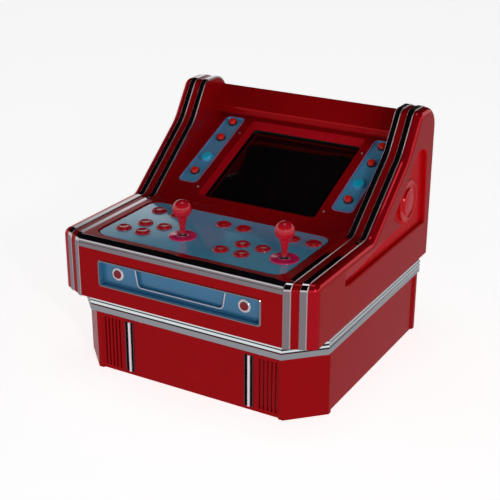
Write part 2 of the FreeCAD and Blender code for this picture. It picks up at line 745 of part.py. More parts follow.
def joystick_gimbal(x, y):
    """Ring that tips left and right on two pins, and carries the stick's cross pin."""
    low = V(0, 0, PIVOT_Z - RING_HALF_HEIGHT)
    ring = rod(RING_OUTER, low, V(0, 0, 1), 2 * RING_HALF_HEIGHT)
    pins = rod(RING_PIN, V(0, -24, PIVOT_Z), V(0, 1, 0), 48)
    ring = ring.fuse(pins)
    ring = ring.cut(rod(RING_INNER, low - V(0, 0, 1), V(0, 0, 1), 2 * RING_HALF_HEIGHT + 2))
    ring = ring.cut(rod(STICK_PIN + RUNNING, V(-30, 0, PIVOT_Z), V(1, 0, 0), 60))
    ring.translate(V(x, y, 0))
    return ring


BALL_RADIUS = 17.5
BALL_Z = DECK_Z + 50.5


def joystick_shaft(x, y):
    """Steel shaft with a round hub, its cross pin and the actuator below."""
    shaft = rod(4.0, V(0, 0, 230), V(0, 0, 1), BALL_Z - 230)
    hub = Part.makeSphere(7.5, V(0, 0, PIVOT_Z))
    pin = rod(STICK_PIN, V(-17, 0, PIVOT_Z), V(1, 0, 0), 34)
    actuator = rod(6.5, V(0, 0, 229), V(0, 0, 1), 12)
    shaft = shaft.fuse([hub, pin, actuator])
    shaft.translate(V(x, y, 0))
    return shaft


def centring_spring(x, y):
    coil = spring(9.6, 4, 4.8)
    coil.translate(V(x, y, 241.2))
    return coil


def joystick_knob(x, y):
    """Ball with a neck that tapers down over the shaft, bored to fit it."""
    neck_low = DECK_Z + 5.0
    ball_low = BALL_Z - BALL_RADIUS * math.cos(math.radians(32))
    ball_edge = BALL_RADIUS * math.sin(math.radians(32))

    def at(radius, z):
        return V(radius, 0, z)

    edges = [
        Part.Arc(at(0, BALL_Z + BALL_RADIUS), at(BALL_RADIUS, BALL_Z), at(ball_edge, ball_low)).toShape(),
        Part.Arc(at(ball_edge, ball_low), at(6.3, 297.0), at(5.0, 287.0)).toShape(),
        Part.makeLine(at(5.0, 287.0), at(5.0, neck_low)),
        Part.makeLine(at(5.0, neck_low), at(4.0, neck_low)),
        Part.makeLine(at(4.0, neck_low), at(4.0, BALL_Z)),
        Part.makeLine(at(4.0, BALL_Z), at(0, BALL_Z)),
        Part.makeLine(at(0, BALL_Z), at(0, BALL_Z + BALL_RADIUS)),
    ]
    knob = Part.Face(Part.Wire(edges)).revolve(V(0, 0, 0), V(0, 0, 1), 360)
    knob.translate(V(x, y, 0))
    return knob


def joystick_disc(x, y):
    """Round escutcheon on the control plate, open in the middle for the stick."""
    profile = [(8.6, 0), (25.6, 0), (25.6, 1.0), (24.8, 1.8), (22.0, 2.4), (12.0, 3.0),
               (9.6, 3.0), (8.6, 2.2)]
    return turned(profile, V(x, y, PLATE_TOP), V(0, 0, 1))


# ---- Screen and bezel --------------------------------------------------------

WINDOW_X = 119.5
WINDOW_U = (33.0, 248.0)
MOUTH_X = 127.0
MOUTH_U = (19.5, 260.0)
SCREEN_U = sum(WINDOW_U) / 2
RED_COLLAR = 9.2
RED_CAP = 7.4
LAMP_COLLAR = 13.4
LENS_RADIUS = 11.6
TRAY_DEPTH = 4.0
TUBE_HALF = (123.0, 110.0, 12.0)   # half width, half height and corner radius of the tube's face
TUBE_RIM = 38.0               # depth at which the funnel starts
DOME_RADIUS = 1400.0
CROWN_DEPTH = 8.2


def strip_centre_x():
    return sum(STRIP_PANEL_X) / 2


def strip_holes(shape):
    """Bore a shape for the barrels of the strip buttons and lamps."""
    for side in (-1, 1):
        for u in RED_BUTTON_U:
            shape = shape.cut(rod(RED_COLLAR, bezel_plane(-8)(side * strip_centre_x(), u), BEZEL_DOWN, 40))
        centre = bezel_plane(-8)(side * strip_centre_x(), LAMP_U)
        shape = shape.cut(rod(LAMP_COLLAR, centre, BEZEL_DOWN, 40))
    return shape


def monitor_bezel():
    """Sloping board with a bevelled screen opening and a sunk bed for each button strip."""
    board = slab(rectangle((-INNER_X, INNER_X), (0, BEZEL_LENGTH)), bezel_plane(0),
                 BEZEL_DOWN * BEZEL_THICK)
    board = board.common(box((-INNER_X, INNER_X), (FOOT_Y, REAR_PANEL_Y[0]), (0, HOOD_UNDERSIDE)))
    mouth = outline(rectangle((-MOUTH_X, MOUTH_X), MOUTH_U, 6.0), bezel_plane(0))
    window = outline(rectangle((-WINDOW_X, WINDOW_X), WINDOW_U, 6.0), bezel_plane(BEZEL_THICK))
    board = board.cut(Part.makeLoft([mouth, window], True, True))
    bed = slab(rectangle(STRIP_PANEL_X, STRIP_PANEL_U, 10.0), bezel_plane(-1),
               BEZEL_DOWN * (TRAY_DEPTH + 1))
    board = board.cut(bed).cut(mirrored(bed))
    return strip_holes(board)


def strip_panels():
    """Blue trays with a raised rim, let into the bezel on both sides of the screen."""
    tray = slab(rectangle(STRIP_PANEL_X, STRIP_PANEL_U, 10.0), bezel_plane(-0.6),
                BEZEL_DOWN * (TRAY_DEPTH + 0.6))
    spans = inset(STRIP_PANEL_X, STRIP_PANEL_U, 2.2)
    tray = tray.cut(slab(rectangle(spans[0], spans[1], 7.8), bezel_plane(-1), BEZEL_DOWN * 3.5))
    return strip_holes(Part.makeCompound(both_sides(tray)))


def collar(x, u, outer, cap):
    """Barrel of a strip button or lamp, from just above the bezel to a closed end below it."""
    bore = cap + CLEARANCE
    profile = [(bore, 0.6), (bore + 0.3, 1.0), (outer - 0.4, 1.0), (outer, 0.6),
               (outer, -18), (0, -18), (0, -16), (bore, -16)]
    return turned(profile, bezel_plane(0)(x, u), BEZEL_DOWN * -1)


def strip_collars():
    made = []
    for side in (-1, 1):
        x = side * strip_centre_x()
        made += [collar(x, u, RED_COLLAR, RED_CAP) for u in RED_BUTTON_U]
        made.append(collar(x, LAMP_U, LAMP_COLLAR, LENS_RADIUS))
    return made


def red_strip_button(x, u):
    top = [(RED_CAP, 4.2), (RED_CAP - 0.8, 5.8), (RED_CAP - 2.6, 6.9), (0, 7.4)]
    return turned(plunger(RED_CAP, top, -11, -2), bezel_plane(0)(x, u), BEZEL_DOWN * -1)


def strip_lamps():
    """Shallow domed lenses, each over a bulb in its holder."""
    lens = [(LENS_RADIUS - 1.5, -6), (LENS_RADIUS, -6), (LENS_RADIUS, 1.4), (LENS_RADIUS - 0.8, 2.2),
            (LENS_RADIUS - 3.0, 2.9), (0, 3.4), (0, 1.6), (LENS_RADIUS - 3.0, 1.2),
            (LENS_RADIUS - 1.5, 0.4)]
    bulb = [(0, -16), (4.0, -16), (4.0, -9), (3.0, -8.4), (3.0, -4), (2.0, -2.6), (0, -2)]
    made = []
    for side in (-1, 1):
        centre = bezel_plane(0)(side * strip_centre_x(), LAMP_U)
        made.append(turned(lens, centre, BEZEL_DOWN * -1))
        made.append(turned(bulb, centre, BEZEL_DOWN * -1))
    return made


def crt_tube():
    """Picture tube with its domed face, its deflection yoke and the band that holds it."""
    def ring(depth, half_x, half_u, radius):
        spans = (-half_x, half_x), (SCREEN_U - half_u, SCREEN_U + half_u)
        return outline(rectangle(spans[0], spans[1], radius), bezel_plane(depth))

    dome_centre = bezel_plane(CROWN_DEPTH + DOME_RADIUS)(0, SCREEN_U)
    face = Part.Face(ring(2, *TUBE_HALF)).extrude(BEZEL_DOWN * (TUBE_RIM - 2))
    face = face.common(Part.makeSphere(DOME_RADIUS, dome_centre))
    funnel = Part.makeLoft([ring(TUBE_RIM, *TUBE_HALF), ring(110, 66, 60, 30), ring(150, 30, 30, 24)],
                           True, True)
    neck = rod(14.5, bezel_plane(149)(0, SCREEN_U), BEZEL_DOWN, 86)
    tube = face.fuse([funnel, neck]).removeSplitter()
    yoke = [(14.5, 152), (36, 152), (36, 160), (30, 182), (18, 184), (14.5, 184)]
    yoke = turned(yoke, bezel_plane(0)(0, SCREEN_U), BEZEL_DOWN)
    band = Part.Face(ring(BEZEL_THICK, 128, 115, 16)).extrude(BEZEL_DOWN * 20)
    band = band.cut(Part.Face(ring(BEZEL_THICK - 1, *TUBE_HALF)).extrude(BEZEL_DOWN * 22))
    return [tube, yoke, band]


# ---- Head, rear and inside ---------------------------------------------------

HOOD_UNDERSIDE = 385.0
HOOD_FOOT_Y = 453.0
HOOD_CREASE = (453.6, 400.5)  # Y, Z where the upright lower face turns into the leaning one
HOOD_TOP = (484.0, 440.3)     # Y, Z of the edge where the leaning face ends
HOOD_BACK_Z = 422.0


def hood():
    """Head rail: a low upright face, and above it a face that leans back to the rear edge."""
    profile = [(HOOD_FOOT_Y, HOOD_UNDERSIDE, 4.0), (REAR_Y - 1, HOOD_UNDERSIDE, 0),
               (REAR_Y - 1, HOOD_BACK_Z, 4.0), (*HOOD_TOP, 1.5), (*HOOD_CREASE, 9.0)]
    return slab(profile, side_plane(-INNER_X), V(2 * INNER_X, 0, 0))


DOOR_X = 120.0
DOOR_Z = (200.0, 350.0)
DOOR_GAP = 1.5
DOOR_THICK = 3.0
HINGE_X = DOOR_X + 4.0
HINGE_Y = REAR_PANEL_Y[1] + 3.2
HINGE_RADIUS = 3.2
HINGE_PIN = 1.5
HINGE_LEAF = 1.6              # thickness of a hinge's leaf
KNUCKLE = 12.0
KNUCKLE_GAP = 0.4
HINGE_Z = (222.0, 328.0)
LOCK_X = -100.0
LOCK_Z = 275.0
LOCK_RADIUS = 8.0
INLET_X = -165.0
INLET_Z = 215.0
INLET_HALF = (14.0, 12.0)     # half width and half height of the inlet's body
SOCKET_HALF = (12.0, 8.5)
LOUVRES = 7


def knuckle(z, bore):
    barrel = rod(HINGE_RADIUS, V(HINGE_X, HINGE_Y, z), V(0, 0, 1), KNUCKLE)
    return barrel.cut(rod(bore, V(HINGE_X, HINGE_Y, z - 1), V(0, 0, 1), KNUCKLE + 2))


def rear_panel():
    """Back board with a door opening, an inlet opening and its share of the hinges."""
    board = box((-INNER_X, INNER_X), REAR_PANEL_Y, (BODY_Z, HOOD_UNDERSIDE))
    board = board.cut(box((-DOOR_X, DOOR_X), (400, 500), DOOR_Z))
    board = board.cut(inlet_block(INLET_HALF, (400, 500)))
    leaf_y = (REAR_PANEL_Y[1], REAR_PANEL_Y[1] + HINGE_LEAF)
    pins = []
    for z in HINGE_Z:
        for offset in (-KNUCKLE - KNUCKLE_GAP, KNUCKLE + KNUCKLE_GAP):
            low = z - KNUCKLE / 2 + offset
            part = knuckle(low, HINGE_PIN)
            leaf = box((HINGE_X, HINGE_X + 14), leaf_y, (low, low + KNUCKLE))
            leaf = leaf.cut(rod(HINGE_PIN, V(HINGE_X, HINGE_Y, low - 1), V(0, 0, 1), KNUCKLE + 2))
            board = board.fuse([part, leaf])
        foot = V(HINGE_X, HINGE_Y, z - 1.5 * KNUCKLE - KNUCKLE_GAP)
        pins.append(rod(HINGE_PIN, foot, V(0, 0, 1), 3 * KNUCKLE + 2 * KNUCKLE_GAP))
    return [board.removeSplitter()] + pins


def service_door():
    """Louvred door with two hinge knuckles and a hole for its lock."""
    x = (-DOOR_X + DOOR_GAP, DOOR_X - DOOR_GAP)
    z = (DOOR_Z[0] + DOOR_GAP, DOOR_Z[1] - DOOR_GAP)
    y = (REAR_PANEL_Y[1] - DOOR_THICK, REAR_PANEL_Y[1])
    door = box(x, y, z)
    for number in range(LOUVRES):
        low = 236 + 11.0 * number
        door = door.cut(box((-50, 90), (y[0] - 1, y[1] + 1), (low, low + 3.6)))
    for hinge in HINGE_Z:
        low = hinge - KNUCKLE / 2
        leaf = box((HINGE_X - 18, HINGE_X), (y[1], y[1] + HINGE_LEAF), (low, low + KNUCKLE))
        leaf = leaf.cut(rod(HINGE_PIN + RUNNING, V(HINGE_X, HINGE_Y, low - 1), V(0, 0, 1), KNUCKLE + 2))
        door = door.fuse([knuckle(low, HINGE_PIN + RUNNING), leaf])
    door = door.removeSplitter()
    return door.cut(rod(LOCK_RADIUS + RUNNING, V(LOCK_X, 400, LOCK_Z), V(0, 1, 0), 100))


def door_lock():
    """Cam lock: a round barrel through the door and a flat cam behind it."""
    outside = REAR_PANEL_Y[1]
    barrel = rod(LOCK_RADIUS, V(LOCK_X, outside - 14, LOCK_Z), V(0, 1, 0), 14)
    head = rod(LOCK_RADIUS + 2, V(LOCK_X, outside + 0.3, LOCK_Z), V(0, 1, 0), 2.6)
    neck = rod(LOCK_RADIUS, V(LOCK_X, outside - 1, LOCK_Z), V(0, 1, 0), 2)
    keyway = box((LOCK_X - 0.8, LOCK_X + 0.8), (outside + 1.4, outside + 4), (LOCK_Z - 4, LOCK_Z + 4))
    cam = box((LOCK_X - 7, LOCK_X + 7), (outside - 13.4, outside - 10.9), (LOCK_Z - 8, LOCK_Z + 32))
    return barrel.fuse([head, neck, cam]).cut(keyway)


def inlet_block(half, y):
    """A block centred on the inlet, of half a width and half a height."""
    return box((INLET_X - half[0], INLET_X + half[0]), y, (INLET_Z - half[1], INLET_Z + half[1]))


def power_inlet():
    """Three-pin mains inlet with a flange on the outside of the back board."""
    outside = REAR_PANEL_Y[1]
    body = inlet_block(INLET_HALF, (outside - 22, outside))
    body = body.fuse(inlet_block((20.0, 16.0), (outside, outside + 2)))
    body = body.cut(inlet_block(SOCKET_HALF, (outside - 16, outside + 3)))
    for x, z in ((-7, -3.5), (0, 0.5), (7, -3.5)):
        centre = (INLET_X + x, INLET_Z + z)
        pin = box((centre[0] - 1, centre[0] + 1), (outside - 17, outside - 4), (centre[1] - 2, centre[1] + 2))
        body = body.fuse(pin)
    return body.removeSplitter()


BOARD_X = (-170.0, -20.0)
BOARD_Y = (118.0, 228.0)
BOARD_THICK = 1.6
PILLAR = 8.0                  # height of the pillars under the board
SUPPLY_X = (40.0, 170.0)
SUPPLY_Y = (122.0, 222.0)
SUPPLY_HEIGHT = 44.0


def circuit_board():
    """Game board on four pillars, with its main chips, heat sink and connector block."""
    low = FLOOR_TOP + PILLAR
    top = low + BOARD_THICK
    board = box(BOARD_X, BOARD_Y, (low, top))
    for x in (BOARD_X[0] + 6, BOARD_X[1] - 6):
        for y in (BOARD_Y[0] + 6, BOARD_Y[1] - 6):
            board = board.fuse(rod(3, V(x, y, FLOOR_TOP), V(0, 0, 1), PILLAR + 0.5))
    for number in range(4):
        x = BOARD_X[0] + 18 + 24 * number
        board = board.fuse(box((x, x + 14), (BOARD_Y[0] + 14, BOARD_Y[0] + 46), (top, top + 3)))
    board = board.fuse(box((-150, -110), (176, 214), (top, top + 12)))
    board = board.fuse(box((-90, -30), (200, 212), (top, top + 14)))
    return board.removeSplitter()


def power_supply():
    """Metal case with a row of slots in its lid."""
    lid = FLOOR_TOP + SUPPLY_HEIGHT
    case = box(SUPPLY_X, SUPPLY_Y, (FLOOR_TOP, lid))
    for number in range(8):
        x = SUPPLY_X[0] + 12 + 14 * number
        case = case.cut(box((x, x + 5), (SUPPLY_Y[0] + 10, SUPPLY_Y[1] - 10), (lid - 2, lid + 1)))
    return case


# ---- Write every piece -------------------------------------------------------

os.makedirs("parts", exist_ok=True)

save("corner_posts", corner_posts())
save("base_panels", base_panels())
save("vent_trims", vent_trims())
save("chrome_moulding", chrome_moulding())
save("side_panels", both_sides(side_panel()))
save("side_covers", both_sides(side_cover()))
save("edge_strips", [piece for x in STRIP_X for piece in both_sides(edge_strip(x))])
save("speaker_covers", both_sides(speaker_cover()))
save("side_speakers", both_sides(side_speaker()))
save("upper_floor", upper_floor())
save("front_fascia", front_fascia())
save("insert_frame", insert_frame())
save("fascia_insert", fascia_insert())
save("front_button_rings", front_button_rings())
save("front_button_left", front_button(-FRONT_BUTTON[0]))
save("front_button_right", front_button(FRONT_BUTTON[0]))
save("nose_trim", nose_trim())
save("deck_surround", deck_surround())
save("control_plate", control_plate())
save("button_housings", button_housings())
for number, centre in enumerate(deck_button_centres(), start=1):
    save("deck_button_%02d" % number, deck_button(*centre))
save("button_springs", button_springs())
save("microswitches", microswitches())
save("joystick_housings", [joystick_housing(x, y) for x, y in stick_centres()])
save("joystick_discs", [joystick_disc(x, y) for x, y in stick_centres()])
for number, (x, y) in enumerate(stick_centres(), start=1):
    save("joystick_gimbal_%d" % number, joystick_gimbal(x, y))
    stick = [joystick_shaft(x, y), joystick_knob(x, y), centring_spring(x, y)]
    save("joystick_stick_%d" % number, stick)
save("monitor_bezel", monitor_bezel())
save("crt_tube", crt_tube())
save("strip_panels", strip_panels())
save("strip_collars", strip_collars())
for side, name in ((-1, "left"), (1, "right")):
    x = side * strip_centre_x()
    for number, u in enumerate(RED_BUTTON_U, start=1):
        save("%s_strip_button_%d" % (name, number), red_strip_button(x, u))
save("strip_lamps", strip_lamps())
save("hood", hood())
save("rear_panel", rear_panel())
save("service_door", service_door())
save("door_lock", door_lock())
save("power_inlet", power_inlet())
save("circuit_board", circuit_board())
save("power_supply", power_supply())
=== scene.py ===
import json
import math

import bmesh
import bpy
from mathutils import Matrix, Vector


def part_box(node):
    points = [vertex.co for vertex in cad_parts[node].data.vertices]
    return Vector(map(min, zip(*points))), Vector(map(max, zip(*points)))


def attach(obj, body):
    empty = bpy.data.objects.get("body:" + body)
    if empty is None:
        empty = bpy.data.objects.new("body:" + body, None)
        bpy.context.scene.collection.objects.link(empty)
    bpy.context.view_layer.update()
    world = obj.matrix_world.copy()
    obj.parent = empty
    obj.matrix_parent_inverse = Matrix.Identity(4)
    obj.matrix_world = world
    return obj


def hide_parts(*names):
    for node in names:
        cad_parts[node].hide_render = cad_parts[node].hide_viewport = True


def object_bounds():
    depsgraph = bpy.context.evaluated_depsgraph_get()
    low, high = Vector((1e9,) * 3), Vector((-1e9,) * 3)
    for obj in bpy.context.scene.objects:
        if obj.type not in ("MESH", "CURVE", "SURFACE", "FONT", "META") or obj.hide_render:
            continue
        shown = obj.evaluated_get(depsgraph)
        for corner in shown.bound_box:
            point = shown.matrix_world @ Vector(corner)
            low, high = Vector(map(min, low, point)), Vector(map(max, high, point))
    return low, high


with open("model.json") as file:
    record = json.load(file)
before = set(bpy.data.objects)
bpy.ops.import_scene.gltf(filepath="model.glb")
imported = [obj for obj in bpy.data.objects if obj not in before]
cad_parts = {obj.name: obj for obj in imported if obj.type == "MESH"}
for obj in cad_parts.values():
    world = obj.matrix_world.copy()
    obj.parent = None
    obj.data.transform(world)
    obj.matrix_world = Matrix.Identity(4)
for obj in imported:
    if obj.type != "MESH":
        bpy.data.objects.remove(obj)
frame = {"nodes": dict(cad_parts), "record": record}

CAD_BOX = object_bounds()
MM = 0.001

# ---- Driving dimensions, in millimetres unless they say otherwise ------------

BEZEL_ANGLE = math.radians(22.65)
BEZEL_FOOT = Vector((0.0, -0.0085, 0.274))      # metres: where the bezel meets the deck
LATHE_STEPS = 72
ARC_STEPS = 6
SMOOTH_ANGLE = math.radians(32)
MERGE_WITHIN = 1e-6                             # metres
ON_AXIS = 1e-4                                  # a radius below this is a single point

ACROSS = Vector((1, 0, 0))
BACK = Vector((0, 1, 0))
UP = Vector((0, 0, 1))
BEZEL_UP = Vector((0, -math.sin(BEZEL_ANGLE), math.cos(BEZEL_ANGLE)))
BEZEL_ALONG = Vector((0, math.cos(BEZEL_ANGLE), math.sin(BEZEL_ANGLE)))


# ---- Materials ---------------------------------------------------------------

COAT_ROUGHNESS = 0.03
TONE_NOISE = (14.0, 5.0)        # scale and detail of the noise that varies the colour
GLOSS_NOISE = (60.0, 6.0)       # the same for the gloss
GLOSS_RANGE = (0.3, 0.7)        # values of that noise between which the gloss varies
GRAIN_DETAIL = 2.0
GRAIN_DEPTH = 0.0004            # metres


def wire(tree, source, output, target, entry):
    tree.links.new(source.outputs[output], target.inputs[entry])


def noise(tree, place, scale, detail):
    made = tree.nodes.new("ShaderNodeTexNoise")
    made.inputs["Scale"].default_value = scale
    made.inputs["Detail"].default_value = detail
    wire(tree, place, "Object", made, "Vector")
    return made


def material(name, colour, roughness, metallic=0.0, coat=0.0, shine=0.5, spread=0.08, wander=0.28,
             grain=0.0, grain_size=900.0):
    """A surface whose colour and gloss vary a little, with an optional fine grain."""
    made = bpy.data.materials.new(name)
    made.use_nodes = True
    tree = made.node_tree
    shader = tree.nodes["Principled BSDF"]
    shader.inputs["Metallic"].default_value = metallic
    shader.inputs["Coat Weight"].default_value = coat
    shader.inputs["Specular IOR Level"].default_value = shine
    shader.inputs["Coat Roughness"].default_value = COAT_ROUGHNESS
    place = tree.nodes.new("ShaderNodeTexCoord")
    tone = tree.nodes.new("ShaderNodeMix")
    tone.data_type = "RGBA"
    tone.inputs["A"].default_value = (*[c * (1 - spread) for c in colour], 1)
    tone.inputs["B"].default_value = (*[min(1, c * (1 + spread)) for c in colour], 1)
    wire(tree, noise(tree, place, *TONE_NOISE), "Fac", tone, "Factor")
    wire(tree, tone, "Result", shader, "Base Color")
    gloss = tree.nodes.new("ShaderNodeMapRange")
    gloss.inputs["From Min"].default_value = GLOSS_RANGE[0]
    gloss.inputs["From Max"].default_value = GLOSS_RANGE[1]
    gloss.inputs["To Min"].default_value = roughness * (1 - wander)
    gloss.inputs["To Max"].default_value = roughness * (1 + wander)
    wire(tree, noise(tree, place, *GLOSS_NOISE), "Fac", gloss, "Value")
    wire(tree, gloss, "Result", shader, "Roughness")
    if grain:
        bump = tree.nodes.new("ShaderNodeBump")
        bump.inputs["Strength"].default_value = grain
        bump.inputs["Distance"].default_value = GRAIN_DEPTH
        wire(tree, noise(tree, place, grain_size, GRAIN_DETAIL), "Fac", bump, "Height")
        wire(tree, bump, "Normal", shader, "Normal")
    return made


RED = material("red_gloss", (0.4, 0.003, 0.006), 0.2, metallic=0.35, coat=0.12, shine=0.04, spread=0.05)
# painted light: a lighter copy of the red with less shine inside the side covers' recess
RECESS_LIT_RED = material("red_recess_painted_light", (0.5, 0.003, 0.006), 0.3, coat=0.1, shine=0.02, spread=0.04)
SPEAKER_RED = material("speaker_red", (0.6, 0.005, 0.012), 0.12, metallic=0.3, coat=0.35, shine=0.1)
# painted highlight: a lighter, glossier copy of the red for the sloping rim of the side covers
RIM_LIT_RED = material("red_rim_painted_highlight", (0.55, 0.003, 0.012), 0.12, metallic=0.5, coat=0.3, shine=0.04,
                   spread=0.04)
# painted highlight: a pale rough metal on the bevels of the chrome strips, for the bright lines along their
# edges
EDGE_HIGHLIGHT = material("edge_painted_highlight", (0.95, 0.84, 0.86), 0.4, metallic=1.0, spread=0.03, wander=0.1)
CHROME = material("chrome", (0.5, 0.46, 0.48), 0.05, metallic=1.0, spread=0.03)
RIBBED = material("moulding_chrome", (0.66, 0.71, 0.73), 0.07, metallic=1.0, spread=0.03, wander=0.05)
# painted reflection: a pale plastic standing in for the shine of the front button rings and the pocket's
# bead
TRIM_PAINTED_SHINE = material("trim_painted_shine", (0.72, 0.66, 0.7), 0.15, coat=0.5, spread=0.03)
BLUE = material("blue_metal", (0.045, 0.2, 0.37), 0.16, metallic=0.15, coat=0.8, spread=0.05)
BLUE_PLATE = material("blue_plate", (0.1, 0.4, 0.68), 0.16, metallic=0.1, coat=1.0, spread=0.05)
# painted reflection: a lighter copy of the blue plate for the control plate, standing in for its sheen
DECK_BLUE_SHEEN = material("deck_blue_painted_sheen", (0.1, 0.56, 0.9), 0.16, metallic=0.1, coat=1.0, spread=0.05)
BUTTON = material("red_button", (0.62, 0.008, 0.022), 0.1, coat=0.2)
CAP_RED = material("bright_red_button", (0.9, 0.02, 0.012), 0.1, coat=0.3)
# painted light: a lighter, less metallic copy of the red for the bevel round the screen's opening
WINDOW_BEVEL_LIT_RED = material("red_bevel_painted_light", (0.42, 0.003, 0.01), 0.25, metallic=0.1, coat=0.1, shine=0.04,
                     spread=0.05)
FRONT_RED = material("dark_red_button", (0.22, 0.002, 0.008), 0.15, coat=0.1)
DISC_RED = material("disc_red", (0.95, 0.02, 0.16), 0.12, coat=0.5)
DARK_CHROME = material("dark_chrome", (0.2, 0.15, 0.15), 0.15, metallic=1.0)
CYAN = material("cyan_lens", (0.012, 0.58, 0.9), 0.12, coat=0.5)
# painted highlight: a lilac colour on the raised rims of the blue strip panels
TRAY_RIM_SHEEN = material("lilac_rim_painted_highlight", (0.4, 0.2, 0.42), 0.2, coat=0.4)
# painted shade: a dark metal for the grooves between the moulding's ribs, where shade falls
GROOVE_SHADE = material("moulding_groove_painted_shade", (0.06, 0.075, 0.08), 0.2, metallic=0.6, spread=0.03)
CHANNEL = material("channel_black", (0.005, 0.004, 0.004), 0.5, shine=0.04)
# painted reflection: a pale pink-white for the chrome bead in the middle of the vent trims
BEAD_PAINTED_SHINE = material("bead_painted_shine", (0.92, 0.78, 0.88), 0.15, coat=0.5, spread=0.03)
BLACK = material("black_plastic", (0.012, 0.012, 0.014), 0.4, grain=0.2)
GLASS = material("dark_glass", (0.003, 0.002, 0.002), 0.12, coat=0.6)
STEEL = material("steel", (0.5, 0.5, 0.52), 0.3, metallic=1.0)
COPPER = material("copper_wire", (0.6, 0.22, 0.08), 0.35, metallic=1.0, grain=0.5, grain_size=700.0)
BOARD = material("board", (0.3, 0.2, 0.12), 0.7, grain=0.4, grain_size=300.0)
CIRCUIT = material("circuit", (0.01, 0.12, 0.04), 0.4)
SLOTS = {"red_gloss": RED, "chrome": CHROME, "blue_metal": BLUE, "red_button": BUTTON,
         "cyan_lens": CYAN, "black_plastic": BLACK, "dark_glass": GLASS, "steel": STEEL,
         "board": BOARD, "circuit": CIRCUIT}
SLOT_OF = {part["node"]: part["material_slot"] for part in frame["record"]["subparts"]}


# ---- Shapes ------------------------------------------------------------------

def box_middle(node):
    low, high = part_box(node)
    return (Vector(low) + Vector(high)) / 2


def soften(mesh):
    """Smooth shading that stays crisp at real edges."""
    mesh.shade_smooth()
    work = bmesh.new()
    work.from_mesh(mesh)
    for edge in work.edges:
        if len(edge.link_faces) == 2 and edge.calc_face_angle(0) > SMOOTH_ANGLE:
            edge.smooth = False
    work.to_mesh(mesh)
    work.free()


def piece(name, work, finish, body, nodes):
    """Turns a bmesh into a named piece on a body that stands for CAD nodes."""
    bmesh.ops.remove_doubles(work, verts=work.verts, dist=MERGE_WITHIN)
    bmesh.ops.recalc_face_normals(work, faces=work.faces)
    mesh = bpy.data.meshes.new(name)
    work.to_mesh(mesh)
    work.free()
    soften(mesh)
    mesh.materials.append(finish)
    made = bpy.data.objects.new(name, mesh)
    bpy.context.scene.collection.objects.link(made)
    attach(made, body)
    if nodes:
        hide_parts(*nodes)
    return made


def rounded(corners):
    """Points along (radius, height, rounding) corners, each rounding turned into an arc."""
    points = []
    for index, (r, h, rounding) in enumerate(corners):
        here = Vector((r, h))
        if rounding <= 0 or index in (0, len(corners) - 1):
            points.append(here)
            continue
        back = (Vector(corners[index - 1][:2]) - here).normalized()
        ahead = (Vector(corners[index + 1][:2]) - here).normalized()
        half = back.angle(ahead) / 2
        reach = rounding / math.tan(half)
        centre = here + (back + ahead).normalized() * (rounding / math.sin(half))
        start, end = here + back * reach - centre, here + ahead * reach - centre
        sweep = start.angle_signed(end)
        for step in range(ARC_STEPS + 1):
            turn = Matrix.Rotation(-sweep * step / ARC_STEPS, 2)
            points.append(centre + turn @ start)
    return points


def lathe_into(work, points, centre, axis):
    """Adds a turned shape to a bmesh: points of (radius, height) in mm about an axis."""
    turn = UP.rotation_difference(axis).to_matrix()
    rings = []
    for r, h in points:
        if r < ON_AXIS:
            rings.append([work.verts.new(centre + turn @ Vector((0, 0, h * MM)))])
            continue
        ring = []
        for step in range(LATHE_STEPS):
            angle = 2 * math.pi * step / LATHE_STEPS
            offset = Vector((r * math.cos(angle), r * math.sin(angle), h)) * MM
            ring.append(work.verts.new(centre + turn @ offset))
        rings.append(ring)
    for low, high in zip(rings, rings[1:]):
        for step in range(LATHE_STEPS):
            after = (step + 1) % LATHE_STEPS
            corners = [low[step % len(low)], low[after % len(low)],
                       high[after % len(high)], high[step % len(high)]]
            unique = list(dict.fromkeys(corners))
            if len(unique) > 2:
                work.faces.new(unique)


def lathe(name, corners, centre, axis, finish, body, *nodes):
    work = bmesh.new()
    lathe_into(work, rounded(corners), centre, axis)
    return piece(name, work, finish, body, nodes)


def bezel_point(x, along, above=0.0):
    """A point on the bezel in metres, from millimetres across, up the slope and above it."""
    return BEZEL_FOOT + (ACROSS * x + BEZEL_ALONG * along + BEZEL_UP * above) * MM


# ---- Deck buttons ------------------------------------------------------------

PLATE_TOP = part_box("control_plate")[1][2]
HOUSING = [(0, -22, 0), (10.6, -22, 0), (10.6, 2.7, 0.5), (12.2, 3.3, 0.6), (13.7, 2.5, 0.9),
           (14.5, 0.9, 0.5), (14.5, 0, 0), (12, 0, 0), (12, -24, 0), (0, -24, 0)]
DECK_PLUNGER = [(0, -6, 0), (4.6, -6, 0), (4.6, -18, 0), (10.2, -18, 0), (10.2, 4.1, 0.5),
                (9.2, 4.9, 0.7), (7.6, 4.5, 1.6), (5.6, 4.0, 2.5), (0, 3.9, 0)]


def deck_buttons():
    for number in range(1, 15):
        node = "deck_button_%02d" % number
        middle = box_middle(node)
        centre = Vector((middle.x, middle.y, PLATE_TOP))
        lathe("deck_housing_%02d" % number, HOUSING, centre, UP, BUTTON, "cabinet", "button_housings")
        lathe("deck_plunger_%02d" % number, DECK_PLUNGER, centre, UP, BUTTON, node, node)


# ---- Joysticks ---------------------------------------------------------------

